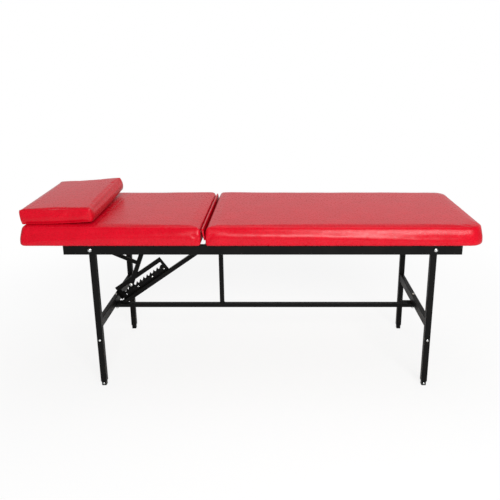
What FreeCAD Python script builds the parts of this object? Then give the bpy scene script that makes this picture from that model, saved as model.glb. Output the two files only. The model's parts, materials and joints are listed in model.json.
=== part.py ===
import FreeCAD, Part
import math
import os
from FreeCAD import Rotation, Vector

os.makedirs("parts", exist_ok=True)

# Cosmetology table: two upholstered sections on a black tube frame with telescopic legs.
# The head section tilts on three hinges and is held by a strut that climbs a toothed rack.
# Millimetres. X runs from the head end to the foot end, Y to the rear, Z up.
# The origin is on the floor, under the middle of the whole table.

# Upholstery
couch_length = 1850.0
couch_width = 600.0
head_length = 719.0
section_gap = 20.0
board_thickness = 15.0
cushion_height = 77.0
cover_wrap = 4.0
cushion_top_radius = 18.0
cushion_bottom_radius = 5.0
head_corner_radius = 25.0
foot_corner_radius = 60.0
gap_corner_radius = 6.0
pillow_length = 287.0
pillow_width = 485.0
pillow_height = 60.0
pillow_overhang = 17.0
pillow_front_margin = 55.0
pillow_edge_radius = 10.0
rest_gap = 0.3
gap_strip_thickness = 6.0
gap_strip_lean = 9.0
gap_strip_below_top = 7.0
gap_strip_end_margin = 8.0

# Frame tubes
frame_height = 657.0
rail_length = 1610.0
rail_width = 20.0
rail_height = 40.0
rail_wall = 1.5
rail_inset = 15.0
head_overhang = 164.0
end_tube_setback = 30.0
plug_depth = 18.0
plug_cap = 2.0
tube_corner = 2.5

# Legs
leg_size = 25.0
leg_wall = 1.5
leg_setback = 105.0
leg_spacing = 1400.0
leg_top_gap = 2.0
foot_protrusion = 20.0
extension_size = 20.0
extension_wall = 1.5
extension_length = 330.0
foot_plug_thickness = 4.0
foot_plug_depth = 14.0
foot_screw_height = 9.5
lock_screw_height = 220.0

# Lower frame
stretcher_size = 20.0
stretcher_wall = 1.5
stretcher_bottom = 248.0
stretcher_overrun = 8.0
end_plate_length = 60.0
end_plate_width = 40.0
end_plate_thickness = 3.0
crossbar_width = 20.0
crossbar_height = 40.0
post_offset = 38.0

# Brace and ratchet: lengths along and across the brace, from its lower foot
brace_angle = 35.3
brace_size = 20.0
brace_foot_setback = 51.8
ratchet_start = -9.5
ratchet_length = 268.0
ratchet_low = 9.0
ratchet_high = 89.0
ratchet_thickness = 3.0
slot_start = 8.5
slot_end = 245.0
slot_low = 42.0
slot_high = 68.0
tab_low = 26.0
tab_high = 73.0
tab_depth = 22.0
rack_thickness = 3.0
rack_low = 25.0
tooth_tip = 54.0
tooth_depth = 10.0
tooth_pitch = 20.0
tooth_count = 11
first_tooth = 14.0
tooth_land = 2.0
rack_end_margin = 2.5
rivet_height = 31.5
rivet_places = (16.5, 84.5, 170.0, 240.0)
rivet_radius = 2.5
rivet_head_radius = 4.0
rivet_head_height = 1.8

# Strut, its pivot under the head board and the release lever
pivot_back = 286.0
pivot_drop = 49.0
pin_along = 73.2
pin_across = 62.0
strut_size = 20.0
strut_wall = 2.0
strut_end = 12.0
lever_size = 15.0
lever_wall = 1.5
lever_place = 110.0
lever_angle = 24.0
lever_length = 280.0
grip_length = 105.0
grip_size = 22.0
grip_end = 4.0
bracket_width = 60.0
bracket_depth = 56.0
bracket_thickness = 3.0
ear_half_width = 15.0
ear_clearance = 0.5

# Hinges between the boards
hinge_places = (-200.0, 0.0, 200.0)
hinge_length = 60.0
knuckle_radius = 4.0
knuckle_count = 5
knuckle_gap = 0.4
hinge_pin_radius = 2.5
leaf_thickness = 2.0
leaf_reach = 42.0
leaf_screw_place = 30.0
leaf_screw_spacing = 36.0

# Fasteners
bolt_radius = 4.0
bolt_clearance = 0.25
bolt_head_radius = 7.5
bolt_head_height = 4.5
nut_across_flats = 13.0
nut_height = 6.5
washer_radius = 8.0
washer_thickness = 1.6
crossbar_head_radius = 6.5
lock_radius = 3.0
lock_head_radius = 5.2
lock_head_height = 3.6
foot_screw_radius = 2.0
foot_screw_head_radius = 4.4
foot_screw_head_height = 2.6
wood_screw_radius = 2.25
wood_screw_head_radius = 4.5
wood_screw_head_height = 2.4
board_screw_places = (60.0, 380.0, 700.0, 1000.0)
board_screw_bite = 11.0

# Places that follow from the sizes
head_end = (pillow_overhang - couch_length) / 2
foot_end = head_end + couch_length
hinge_x = head_end + head_length + section_gap / 2
main_start = hinge_x + section_gap / 2
head_stop = hinge_x - section_gap / 2
board_top = frame_height + board_thickness
cushion_top = frame_height + cushion_height
hinge_z = board_top + knuckle_radius
rail_y = couch_width / 2 - rail_inset - rail_width / 2
rail_outer_y = rail_y + rail_width / 2
rail_inner_y = rail_y - rail_width / 2
rail_bottom = frame_height - rail_height
rail_middle = frame_height - rail_height / 2
rail_start = head_end + head_overhang
rail_end = rail_start + rail_length
leg_y = rail_inner_y - leg_size / 2
leg_inner_y = leg_y - leg_size / 2
head_leg_x = rail_start + leg_setback
foot_leg_x = head_leg_x + leg_spacing
stretcher_top = stretcher_bottom + stretcher_size
crossbar_bottom = stretcher_top + end_plate_thickness
crossbar_top = crossbar_bottom + crossbar_height
post_x = hinge_x + post_offset
brace_foot = Vector(head_leg_x + brace_foot_setback, 0, crossbar_bottom)
along = Vector(math.cos(math.radians(brace_angle)), 0, math.sin(math.radians(brace_angle)))
across = Vector(-along.z, 0, along.x)
ratchet_y = brace_size / 2
rack_y = ratchet_y + ratchet_thickness
pivot = Vector(hinge_x - pivot_back, 0, hinge_z - pivot_drop)
pin = brace_foot + along * pin_along + across * pin_across
strut_line = (pivot - pin).normalize()
strut_tilt = math.degrees(math.atan2(strut_line.z, strut_line.x))
ear_y = strut_size / 2 + ear_clearance
bolt_hole = bolt_radius + bolt_clearance
legs = {
    "front_left": (head_leg_x, -1), "front_right": (foot_leg_x, -1),
    "rear_left": (head_leg_x, 1), "rear_right": (foot_leg_x, 1),
}


def save(name, *solids):
    """Write one node; several solids stay separate inside it."""
    shape = solids[0] if len(solids) == 1 else Part.makeCompound(list(solids))
    for solid in shape.Solids:
        if not solid.isValid():
            raise ValueError(name + " is not a valid solid")
    shape.exportStep("parts/" + name + ".step")
    print(name, len(shape.Solids), "volume", round(shape.Volume))


def rounded_rectangle(width, height, radius):
    """Closed wire in the YZ plane, centred on X, with round corners."""
    y, z = width / 2, height / 2
    edges = []
    corners = ((y, z, 0), (-y, z, 90), (-y, -z, 180), (y, -z, 270))
    points = []
    for corner_y, corner_z, start in corners:
        centre_y = corner_y - math.copysign(radius, corner_y)
        centre_z = corner_z - math.copysign(radius, corner_z)
        arc = [Vector(0, centre_y + radius * math.cos(math.radians(start + turn)),
                      centre_z + radius * math.sin(math.radians(start + turn)))
               for turn in (0, 45, 90)]
        points.append(arc)
    for index, arc in enumerate(points):
        following = points[(index + 1) % 4]
        edges.append(Part.Arc(*arc).toShape())
        edges.append(Part.LineSegment(arc[2], following[0]).toShape())
    return Part.Wire(edges)


def tube(length, width, height, wall):
    """Rectangular tube along +X from the origin, width in Y and height in Z."""
    outer = Part.Face(rounded_rectangle(width, height, tube_corner))
    inner_radius = max(tube_corner - wall, 0.5)
    inner = Part.Face(rounded_rectangle(width - 2 * wall, height - 2 * wall, inner_radius))
    return outer.cut(inner).extrude(Vector(length, 0, 0))


def bar(length, width, height, radius):
    """Solid bar along +X from the origin with round long edges."""
    return Part.Face(rounded_rectangle(width, height, radius)).extrude(Vector(length, 0, 0))


def tilted(shape, angle, place):
    """Turn a shape made along +X up by an angle in the XZ plane, then move it."""
    turned = shape.copy()
    turned.rotate(Vector(), Vector(0, -1, 0), angle)
    turned.translate(place)
    return turned


def along_y(shape, place):
    """Turn a shape made along +X to +Y, then move it."""
    turned = shape.copy()
    turned.rotate(Vector(), Vector(0, 0, 1), 90)
    turned.translate(place)
    return turned


def upright(shape, place):
    """Turn a shape made along +X to +Z, then move it."""
    turned = shape.copy()
    turned.rotate(Vector(), Vector(0, -1, 0), 90)
    turned.translate(place)
    return turned


def cylinder(radius, start, end):
    """Round bar from one point to another."""
    line = end - start
    return Part.makeCylinder(radius, line.Length, start, line)


def bolt(start, direction, grip, radius, head_radius, head_height):
    """Dome-headed bolt whose head seats at start and whose shank runs along direction."""
    axis = Vector(direction).normalize()
    shank = Part.makeCylinder(radius, grip, start, axis)
    crown = 0.45 * head_height
    profile = Part.Wire([
        Part.LineSegment(Vector(0, 0, 0), Vector(head_radius, 0, 0)).toShape(),
        Part.LineSegment(Vector(head_radius, 0, 0), Vector(head_radius, 0, crown)).toShape(),
        Part.Arc(Vector(head_radius, 0, crown), Vector(0.72 * head_radius, 0, 0.84 * head_height),
                 Vector(0, 0, head_height)).toShape(),
        Part.LineSegment(Vector(0, 0, head_height), Vector(0, 0, 0)).toShape(),
    ])
    head = Part.Face(profile).revolve(Vector(), Vector(0, 0, 1), 360)
    head = Part.Solid(Part.Shell(head.Faces)) if not head.Solids else head.Solids[0]
    recess = Part.makeCylinder(0.36 * head_radius, 0.5 * head_height, Vector(0, 0, 0.5 * head_height))
    head = head.cut(recess)
    head.Placement = FreeCAD.Placement(start, Rotation(Vector(0, 0, 1), axis * -1))
    return head.fuse(shank)


def nut(start, direction, radius, across_flats=nut_across_flats, height=nut_height):
    """Hexagonal nut seated at start, bored for a shank of the given radius."""
    axis = Vector(direction).normalize()
    corner = across_flats / 2 / math.cos(math.radians(30))
    points = [Vector(corner * math.cos(math.radians(60 * i)), corner * math.sin(math.radians(60 * i)), 0)
              for i in range(7)]
    block = Part.Face(Part.makePolygon(points)).extrude(Vector(0, 0, height))
    block = block.cut(Part.makeCylinder(radius, height))
    block.Placement = FreeCAD.Placement(start, Rotation(Vector(0, 0, 1), axis))
    return block


def washer(start, direction, radius):
    """Flat washer seated at start."""
    axis = Vector(direction).normalize()
    disc = Part.makeCylinder(washer_radius, washer_thickness, start, axis)
    return disc.cut(Part.makeCylinder(radius, washer_thickness, start, axis))


def on_ratchet(u, v, y):
    """Point given along and across the brace."""
    return brace_foot + along * u + across * v + Vector(0, y, 0)


def slab_on_ratchet(wire_points, y, thickness):
    """Plate whose outline is given along and across the brace."""
    points = [on_ratchet(u, v, y) for u, v in wire_points]
    return Part.Face(Part.makePolygon(points + points[:1])).extrude(Vector(0, thickness, 0))


def make_rails():
    for name, side in (("front_rail", -1), ("rear_rail", 1)):
        rail = tube(rail_length, rail_width, rail_height, rail_wall)
        rail.translate(Vector(rail_start, side * rail_y, rail_middle))
        for x in (head_leg_x, foot_leg_x):
            rail = rail.cut(cylinder(bolt_hole, Vector(x, side * (rail_inner_y - 1), rail_middle),
                                     Vector(x, side * (rail_outer_y + 1), rail_middle)))
        for x in board_screw_x():
            rail = rail.cut(Part.makeCylinder(wood_screw_radius, rail_height,
                                              Vector(x, side * rail_y, rail_bottom)))
        save(name, rail)


def board_screw_x():
    """Screw places along the rails, under the main board."""
    return [main_start + place for place in board_screw_places]


def make_cross_tubes():
    places = {
        "head_cross_tube": rail_start + end_tube_setback,
        "hinge_cross_tube": post_x,
        "foot_cross_tube": rail_end - end_tube_setback,
    }
    for name, x in places.items():
        cross = tube(2 * rail_inner_y, rail_width, rail_height, rail_wall)
        save(name, along_y(cross, Vector(x, -rail_inner_y, rail_middle)))


def make_rail_end_plugs():
    plugs = []
    for side in (-1, 1):
        for x, outward in ((rail_start, -1), (rail_end, 1)):
            cap = bar(plug_cap, rail_width, rail_height, tube_corner)
            insert = bar(plug_depth, rail_width - 2 * rail_wall, rail_height - 2 * rail_wall,
                         max(tube_corner - rail_wall, 0.5))
            cap.translate(Vector(x if outward > 0 else x - plug_cap, side * rail_y, rail_middle))
            insert.translate(Vector(x - plug_depth if outward > 0 else x, side * rail_y, rail_middle))
            plugs.append(cap.fuse(insert).removeSplitter())
    save("rail_end_plugs", *plugs)


def make_legs():
    leg_bottom = foot_protrusion
    leg_top = frame_height - leg_top_gap
    for name, (x, side) in legs.items():
        outer = upright(tube(leg_top - leg_bottom, leg_size, leg_size, leg_wall),
                        Vector(x, side * leg_y, leg_bottom))
        outer = outer.cut(cylinder(bolt_hole, Vector(x, side * (leg_inner_y - 1), rail_middle),
                                   Vector(x, side * (rail_inner_y + 1), rail_middle)))
        outer = outer.cut(cylinder(lock_radius, Vector(x, side * leg_y, lock_screw_height),
                                   Vector(x, side * (rail_inner_y + 1), lock_screw_height)))
        save(name + "_leg", outer)
        make_extension(name, x, side)


def make_extension(name, x, side):
    """Inner leg tube with its foot plug and the screw that holds the plug."""
    place = Vector(x, side * leg_y, foot_plug_thickness)
    inner = upright(tube(extension_length, extension_size, extension_size, extension_wall), place)
    outer_face = side * (leg_y + extension_size / 2)
    screw_start = Vector(x, outer_face, foot_screw_height)
    screw_grip = extension_wall + 6.0
    screw = bolt(screw_start, (0, -side, 0), screw_grip,
                 foot_screw_radius, foot_screw_head_radius, foot_screw_head_height)
    screw_hole = cylinder(foot_screw_radius, screw_start, screw_start + Vector(0, -side * screw_grip, 0))
    inside = extension_size - 2 * extension_wall
    pad = upright(bar(foot_plug_thickness, extension_size, extension_size, tube_corner),
                  Vector(x, side * leg_y, 0))
    insert = upright(bar(foot_plug_depth, inside, inside, max(tube_corner - extension_wall, 0.5)), place)
    save(name + "_leg_extension", inner.cut(screw_hole))
    save(name + "_foot_plug", pad.fuse(insert).removeSplitter().cut(screw_hole))
    save(name + "_foot_screw", screw)


def make_leg_fasteners():
    bolts, nuts, locks = [], [], []
    grip = rail_width + leg_size + washer_thickness + nut_height
    for x, side in legs.values():
        bolts.append(bolt(Vector(x, side * rail_outer_y, rail_middle), (0, -side, 0), grip,
                          bolt_radius, bolt_head_radius, bolt_head_height))
        seat = Vector(x, side * leg_inner_y, rail_middle)
        nuts.append(washer(seat, (0, -side, 0), bolt_radius))
        nuts.append(nut(seat + Vector(0, -side * washer_thickness, 0), (0, -side, 0), bolt_radius))
        slack = (leg_size - extension_size) / 2 - rest_gap
        locks.append(bolt(Vector(x, side * rail_inner_y, lock_screw_height), (0, -side, 0), slack,
                          lock_radius, lock_head_radius, lock_head_height))
    save("leg_bolts", *bolts)
    save("leg_nuts", *nuts)
    save("height_lock_screws", *locks)


def make_crossbars():
    bolts, nuts, plates = [], [], []
    end_from_leg = stretcher_overrun
    for name, x, inward in (("left_crossbar", head_leg_x, 1), ("right_crossbar", foot_leg_x, -1)):
        top = Vector(x, 0, crossbar_top)
        below = Vector(x, 0, stretcher_bottom)
        crossbar = along_y(tube(2 * leg_inner_y, crossbar_width, crossbar_height, rail_wall),
                           Vector(x, -leg_inner_y, crossbar_bottom + crossbar_height / 2))
        drill = cylinder(bolt_hole, below, top)
        save(name, crossbar.cut(drill))
        outer_end = x - inward * end_from_leg
        plate_x = min(outer_end, outer_end + inward * end_plate_length)
        plate = Part.makeBox(end_plate_length, end_plate_width, end_plate_thickness,
                             Vector(plate_x, -end_plate_width / 2, stretcher_top))
        plates.append(plate.cut(drill))
        bolts.append(bolt(top, (0, 0, -1), crossbar_top - stretcher_bottom + nut_height + 2,
                          bolt_radius, crossbar_head_radius, bolt_head_height))
        nuts.append(nut(below, (0, 0, -1), bolt_radius))
    save("stretcher_end_plates", *plates)
    save("crossbar_bolts", *bolts)
    save("crossbar_nuts", *nuts)


def make_stretcher():
    start = head_leg_x - stretcher_overrun
    length = leg_spacing + 2 * stretcher_overrun
    stretcher = tube(length, stretcher_size, stretcher_size, stretcher_wall)
    stretcher.translate(Vector(start, 0, stretcher_bottom + stretcher_size / 2))
    for x in (head_leg_x, foot_leg_x):
        stretcher = stretcher.cut(Part.makeCylinder(bolt_hole, stretcher_size,
                                                    Vector(x, 0, stretcher_bottom)))
    save("stretcher", stretcher)


def make_middle_post():
    length = rail_bottom - stretcher_top
    post = upright(tube(length, stretcher_size, stretcher_size, stretcher_wall),
                   Vector(post_x, 0, stretcher_top))
    save("middle_post", post)


def make_diagonal_brace():
    """Brace from the stretcher's left end up to the middle post, mitred at both ends."""
    post_face = post_x - stretcher_size / 2
    run = (post_face - brace_foot.x) / along.x
    spare = brace_size / math.tan(math.radians(brace_angle)) + brace_size
    raw = tube(run + 2 * spare, brace_size, brace_size, stretcher_wall)
    start = brace_foot + across * (brace_size / 2) - along * spare
    brace = tilted(raw, brace_angle, start)
    reach = 3 * brace_size
    low = Part.makeBox(4 * reach, reach, reach,
                       Vector(brace_foot.x - 2 * reach, -reach / 2, crossbar_bottom - reach))
    far = Part.makeBox(2 * reach, reach, 4 * reach, Vector(post_face, -reach / 2, rail_bottom - 3 * reach))
    save("diagonal_brace", brace.cut(low).cut(far))


def make_ratchet_frame():
    """Slotted plate welded to the rear face of the brace, with a tab bent forward at its low end."""
    end = ratchet_start + ratchet_length
    plate = slab_on_ratchet([(ratchet_start, ratchet_low), (end, ratchet_low),
                             (end, ratchet_high), (ratchet_start, ratchet_high)],
                            ratchet_y, ratchet_thickness)
    slot = slab_on_ratchet([(slot_start, slot_low), (slot_end, slot_low),
                            (slot_end, slot_high), (slot_start, slot_high)],
                           ratchet_y, ratchet_thickness)
    tab_y = ratchet_y + ratchet_thickness - tab_depth
    tab = slab_on_ratchet([(ratchet_start, tab_low), (ratchet_start + ratchet_thickness, tab_low),
                           (ratchet_start + ratchet_thickness, tab_high), (ratchet_start, tab_high)],
                          tab_y, tab_depth)
    plate = plate.cut(slot).fuse(tab)
    for place in rivet_places:
        plate = plate.cut(Part.makeCylinder(rivet_radius, ratchet_thickness,
                                            on_ratchet(place, rivet_height, ratchet_y), Vector(0, 1, 0)))
    save("ratchet_frame", plate.removeSplitter())


def tooth_notch(tip):
    """One notch behind a tooth tip: a steep stop face, a round seat for the pin and a long ramp."""
    seat = bolt_radius + bolt_clearance
    centre_u = tip + seat + tooth_land / 2
    centre_v = tooth_tip - tooth_depth + seat
    next_tip = tip + tooth_pitch - tooth_land / 2
    away_u, away_v = next_tip - centre_u, tooth_tip - centre_v
    distance = math.hypot(away_u, away_v)
    turn = math.atan2(away_v, away_u) - math.acos(seat / distance)
    tangent = (centre_u + seat * math.cos(turn), centre_v + seat * math.sin(turn))
    above = tooth_tip + 1.0
    past_tip = next_tip + (next_tip - tangent[0]) / (tooth_tip - tangent[1])
    opening = slab_on_ratchet([(centre_u - seat, centre_v), (centre_u - seat, above),
                               (past_tip, above), tangent, (centre_u, centre_v)],
                              rack_y, rack_thickness)
    round_seat = Part.makeCylinder(seat, rack_thickness, on_ratchet(centre_u, centre_v, rack_y),
                                   Vector(0, 1, 0))
    return opening.fuse(round_seat)


def make_toothed_rack():
    start = slot_start - rack_end_margin
    end = slot_end + rack_end_margin
    rack = slab_on_ratchet([(start, rack_low), (end, rack_low), (end, tooth_tip), (start, tooth_tip)],
                           rack_y, rack_thickness)
    for index in range(tooth_count):
        rack = rack.cut(tooth_notch(first_tooth + index * tooth_pitch))
    for place in rivet_places:
        rack = rack.cut(Part.makeCylinder(rivet_radius, rack_thickness,
                                          on_ratchet(place, rivet_height, rack_y), Vector(0, 1, 0)))
    save("toothed_rack", rack)


def make_rack_rivets():
    rivets = []
    grip = ratchet_thickness + rack_thickness
    for place in rivet_places:
        start = on_ratchet(place, rivet_height, ratchet_y)
        end = on_ratchet(place, rivet_height, ratchet_y + grip)
        rivet = bolt(start, (0, 1, 0), grip, rivet_radius, rivet_head_radius, rivet_head_height)
        tail = Part.makeCylinder(rivet_head_radius, rivet_head_height / 2, end, Vector(0, 1, 0))
        rivets.append(rivet.fuse(tail))
    save("rack_rivets", *rivets)


def make_strut():
    """Square tube from the pivot under the head board down to the pin in the rack."""
    length = (pivot - pin).Length + 2 * strut_end
    strut = tilted(tube(length, strut_size, strut_size, strut_wall), strut_tilt,
                   pin - strut_line * strut_end)
    half = Vector(0, strut_size, 0)
    for centre in (pivot, pin):
        strut = strut.cut(cylinder(bolt_hole, centre - half, centre + half))
    save("prop_strut", strut)
    body = tilted(bar(length, strut_size, strut_size, tube_corner), strut_tilt,
                  pin - strut_line * strut_end)
    lever_start = pin + strut_line * lever_place
    lever_turn = 180.0 - lever_angle
    lever = tilted(tube(lever_length, lever_size, lever_size, lever_wall), lever_turn, lever_start)
    outward = Vector(-math.cos(math.radians(lever_angle)), 0, math.sin(math.radians(lever_angle)))
    grip_start = lever_start + outward * (lever_length - grip_length)
    grip = tilted(bar(grip_length + grip_end, grip_size, grip_size, 4.0), lever_turn, grip_start)
    hollow = tilted(bar(grip_length, lever_size, lever_size, tube_corner), lever_turn, grip_start)
    save("release_lever", lever.cut(body))
    save("lever_grip", grip.cut(hollow))


def make_ratchet_pin():
    """Bolt through the strut's lower end, the slot and the rack's channel, with washer and nut."""
    head_seat = pin + Vector(0, -strut_size / 2 - washer_thickness, 0)
    running = 1.0
    nut_seat_y = rack_y + rack_thickness + running
    grip = nut_seat_y + nut_height + 1.5 - head_seat.y
    save("ratchet_pin", bolt(head_seat, (0, 1, 0), grip, bolt_radius, bolt_head_radius, bolt_head_height))
    seat = Vector(pin.x, nut_seat_y, pin.z)
    save("ratchet_pin_nut",
         washer(pin + Vector(0, -strut_size / 2, 0), (0, -1, 0), bolt_radius),
         washer(seat, (0, 1, 0), bolt_radius),
         nut(seat + Vector(0, washer_thickness, 0), (0, 1, 0), bolt_radius, height=nut_height - 1.5))


def make_strut_bracket():
    """Base plate under the head board with two ears that hold the strut's pivot bolt."""
    plate_bottom = frame_height - bracket_thickness
    base = Part.makeBox(bracket_width, bracket_depth, bracket_thickness,
                        Vector(pivot.x - bracket_width / 2, -bracket_depth / 2, plate_bottom))
    bracket = base
    for side in (-1, 1):
        y = ear_y if side > 0 else -ear_y - bracket_thickness
        ear = Part.makeBox(2 * ear_half_width, bracket_thickness, plate_bottom - pivot.z,
                           Vector(pivot.x - ear_half_width, y, pivot.z))
        tip = Part.makeCylinder(ear_half_width, bracket_thickness, Vector(pivot.x, y, pivot.z),
                                Vector(0, 1, 0))
        bracket = bracket.fuse(ear).fuse(tip)
    bracket = bracket.removeSplitter()
    reach = ear_y + bracket_thickness + 1
    bracket = bracket.cut(cylinder(bolt_radius, pivot - Vector(0, reach, 0), pivot + Vector(0, reach, 0)))
    screws = []
    for x, y in bracket_screw_places():
        hole = Part.makeCylinder(wood_screw_radius, bracket_thickness, Vector(x, y, plate_bottom))
        bracket = bracket.cut(hole)
        screws.append(bolt(Vector(x, y, plate_bottom), (0, 0, 1), bracket_thickness + board_screw_bite,
                           wood_screw_radius, wood_screw_head_radius, wood_screw_head_height))
    save("strut_bracket", bracket)
    save("strut_bracket_screws", *screws)
    outer = ear_y + bracket_thickness
    grip = 2 * outer + nut_height + 1.5
    save("strut_pivot_bolt", bolt(pivot - Vector(0, outer, 0), (0, 1, 0), grip,
                                  bolt_radius, bolt_head_radius, bolt_head_height))
    save("strut_pivot_nut", nut(pivot + Vector(0, outer, 0), (0, 1, 0), bolt_radius))


def bracket_screw_places():
    """Four screws at the corners of the bracket's base plate."""
    inset = 8.0
    return [(pivot.x + sx * (bracket_width / 2 - inset), sy * (bracket_depth / 2 - inset))
            for sx in (-1, 1) for sy in (-1, 1)]


def hinge_leaf(place, side):
    """One leaf with its knuckles: side -1 is the head board's, +1 the main board's."""
    pitch = hinge_length / knuckle_count
    low_y = place - hinge_length / 2
    start_x = hinge_x if side > 0 else hinge_x - leaf_reach
    leaf = Part.makeBox(leaf_reach, hinge_length, leaf_thickness, Vector(start_x, low_y, board_top))
    own = [i for i in range(knuckle_count) if (i % 2 == 0) == (side > 0)]
    for index in range(knuckle_count):
        y = low_y + index * pitch
        if index in own:
            leaf = leaf.fuse(Part.makeCylinder(knuckle_radius, pitch - knuckle_gap,
                                               Vector(hinge_x, y + knuckle_gap / 2, hinge_z),
                                               Vector(0, 1, 0)))
        else:
            clear = knuckle_radius + 0.6
            leaf = leaf.cut(Part.makeBox(2 * clear, pitch + knuckle_gap, 2 * clear,
                                         Vector(hinge_x - clear, y - knuckle_gap / 2, board_top - 1)))
    bore = hinge_pin_radius if side > 0 else hinge_pin_radius + 0.1
    leaf = leaf.cut(Part.makeCylinder(bore, hinge_length, Vector(hinge_x, low_y, hinge_z),
                                      Vector(0, 1, 0)))
    for screw in leaf_screws(place, side):
        leaf = leaf.cut(screw)
    return leaf.removeSplitter()


def leaf_screws(place, side):
    """Two countersunk screws, flush with the leaf's top."""
    screws = []
    top = board_top + leaf_thickness
    for y in (place - leaf_screw_spacing / 2, place + leaf_screw_spacing / 2):
        x = hinge_x + side * leaf_screw_place
        cone = Part.makeCone(wood_screw_radius * 0.8, wood_screw_radius * 1.7, leaf_thickness,
                             Vector(x, y, board_top))
        shank = Part.makeCylinder(wood_screw_radius * 0.8, board_screw_bite,
                                  Vector(x, y, top - leaf_thickness - board_screw_bite))
        screws.append(cone.fuse(shank))
    return screws


def make_hinges():
    for name, side in (("fixed_hinge_leaves", 1), ("moving_hinge_leaves", -1)):
        save(name, *[hinge_leaf(place, side) for place in hinge_places])
    save("fixed_leaf_screws", *[s for place in hinge_places for s in leaf_screws(place, 1)])
    save("moving_leaf_screws", *[s for place in hinge_places for s in leaf_screws(place, -1)])
    pins = [Part.makeCylinder(hinge_pin_radius, hinge_length,
                              Vector(hinge_x, place - hinge_length / 2, hinge_z), Vector(0, 1, 0))
            for place in hinge_places]
    save("hinge_pins", *pins)


def plan_block(x_start, x_end, half_width, z_low, z_high, start_radius, end_radius):
    """Flat block whose four upright corners are rounded, each end with its own radius."""
    block = Part.makeBox(x_end - x_start, 2 * half_width, z_high - z_low,
                         Vector(x_start, -half_width, z_low))
    for x, radius in ((x_start, start_radius), (x_end, end_radius)):
        upright_edges = [e for e in block.Edges
                         if abs(e.BoundBox.XMax - x) < 1e-6 and e.BoundBox.ZLength > z_high - z_low - 1e-6
                         and e.BoundBox.XLength < 1e-6 and e.BoundBox.YLength < 1e-6]
        block = block.makeFillet(radius, upright_edges)
    return block


def edges_at(shape, z):
    """Edges that lie in one horizontal plane."""
    return [e for e in shape.Edges
            if abs(e.BoundBox.ZMin - z) < 1e-6 and abs(e.BoundBox.ZMax - z) < 1e-6]


def make_section(name, x_start, x_end, start_radius, end_radius, leaf_side):
    """Wooden board and the foam cushion that wraps over its edges."""
    board = plan_block(x_start + cover_wrap, x_end - cover_wrap, couch_width / 2 - cover_wrap,
                       frame_height, board_top,
                       max(start_radius - cover_wrap, 1), max(end_radius - cover_wrap, 1))
    cushion = plan_block(x_start, x_end, couch_width / 2, frame_height, cushion_top,
                         start_radius, end_radius)
    cushion = cushion.makeFillet(cushion_top_radius, edges_at(cushion, cushion_top))
    cushion = cushion.cut(board)
    for place in hinge_places:
        low_x = hinge_x if leaf_side > 0 else hinge_x - leaf_reach
        pocket = Part.makeBox(leaf_reach, hinge_length, leaf_thickness,
                              Vector(low_x, place - hinge_length / 2, board_top))
        cushion = cushion.cut(pocket)
        for screw in leaf_screws(place, leaf_side):
            board = board.cut(screw)
    return board, cushion


def make_head_section():
    board, cushion = make_section("head", head_end, head_stop, head_corner_radius,
                                  gap_corner_radius, -1)
    for x, y in bracket_screw_places():
        board = board.cut(Part.makeCylinder(wood_screw_radius, board_screw_bite,
                                            Vector(x, y, frame_height)))
    save("head_board", board)
    save("head_cushion", cushion)


def make_main_section():
    board, cushion = make_section("main", main_start, foot_end, gap_corner_radius,
                                  foot_corner_radius, 1)
    screws = []
    for x in board_screw_x():
        for side in (-1, 1):
            start = Vector(x, side * rail_y, rail_bottom)
            board = board.cut(Part.makeCylinder(wood_screw_radius, board_screw_bite,
                                                Vector(x, side * rail_y, frame_height)))
            screws.append(bolt(start, (0, 0, 1), rail_height + board_screw_bite,
                               wood_screw_radius, wood_screw_head_radius, wood_screw_head_height))
    save("main_board", board)
    save("main_cushion", cushion)
    save("main_board_screws", *screws)


def make_gap_strip():
    """Thin padded strip that stands in the gap, sewn to the main cushion's end over the hinges."""
    low = hinge_z + knuckle_radius + 2 * rest_gap
    high = cushion_top - gap_strip_below_top
    foot = main_start - rest_gap
    half = couch_width / 2 - gap_strip_end_margin
    side = gap_strip_thickness / 2
    crown = Vector(foot - gap_strip_lean - side, -half, high)
    outline = Part.Wire([
        Part.LineSegment(Vector(foot, -half, low), Vector(foot - gap_strip_lean, -half, high - side)).toShape(),
        Part.Arc(Vector(foot - gap_strip_lean, -half, high - side), crown,
                 Vector(foot - gap_strip_lean - 2 * side, -half, high - side)).toShape(),
        Part.LineSegment(Vector(foot - gap_strip_lean - 2 * side, -half, high - side),
                         Vector(foot - 2 * side, -half, low)).toShape(),
        Part.LineSegment(Vector(foot - 2 * side, -half, low), Vector(foot, -half, low)).toShape(),
    ])
    save("gap_strip", Part.Face(outline).extrude(Vector(0, 2 * half, 0)))


def make_pillow():
    pillow = Part.makeBox(pillow_length, pillow_width, pillow_height,
                          Vector(head_end - pillow_overhang, -couch_width / 2 + pillow_front_margin,
                                 cushion_top + rest_gap))
    save("pillow", pillow.makeFillet(pillow_edge_radius, pillow.Edges))


make_rails()
make_cross_tubes()
make_rail_end_plugs()
make_legs()
make_leg_fasteners()
make_crossbars()
make_stretcher()
make_middle_post()
make_diagonal_brace()
make_ratchet_frame()
make_toothed_rack()
make_rack_rivets()
make_strut()
make_ratchet_pin()
make_strut_bracket()
make_hinges()
make_head_section()
make_main_section()
make_gap_strip()
make_pillow()
print("hinge", hinge_x, hinge_z, "pivot", pivot, "pin", pin)
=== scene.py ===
import json
import math

import bmesh
import bpy
import numpy as np
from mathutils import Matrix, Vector, noise
from mathutils.bvhtree import BVHTree


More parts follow.
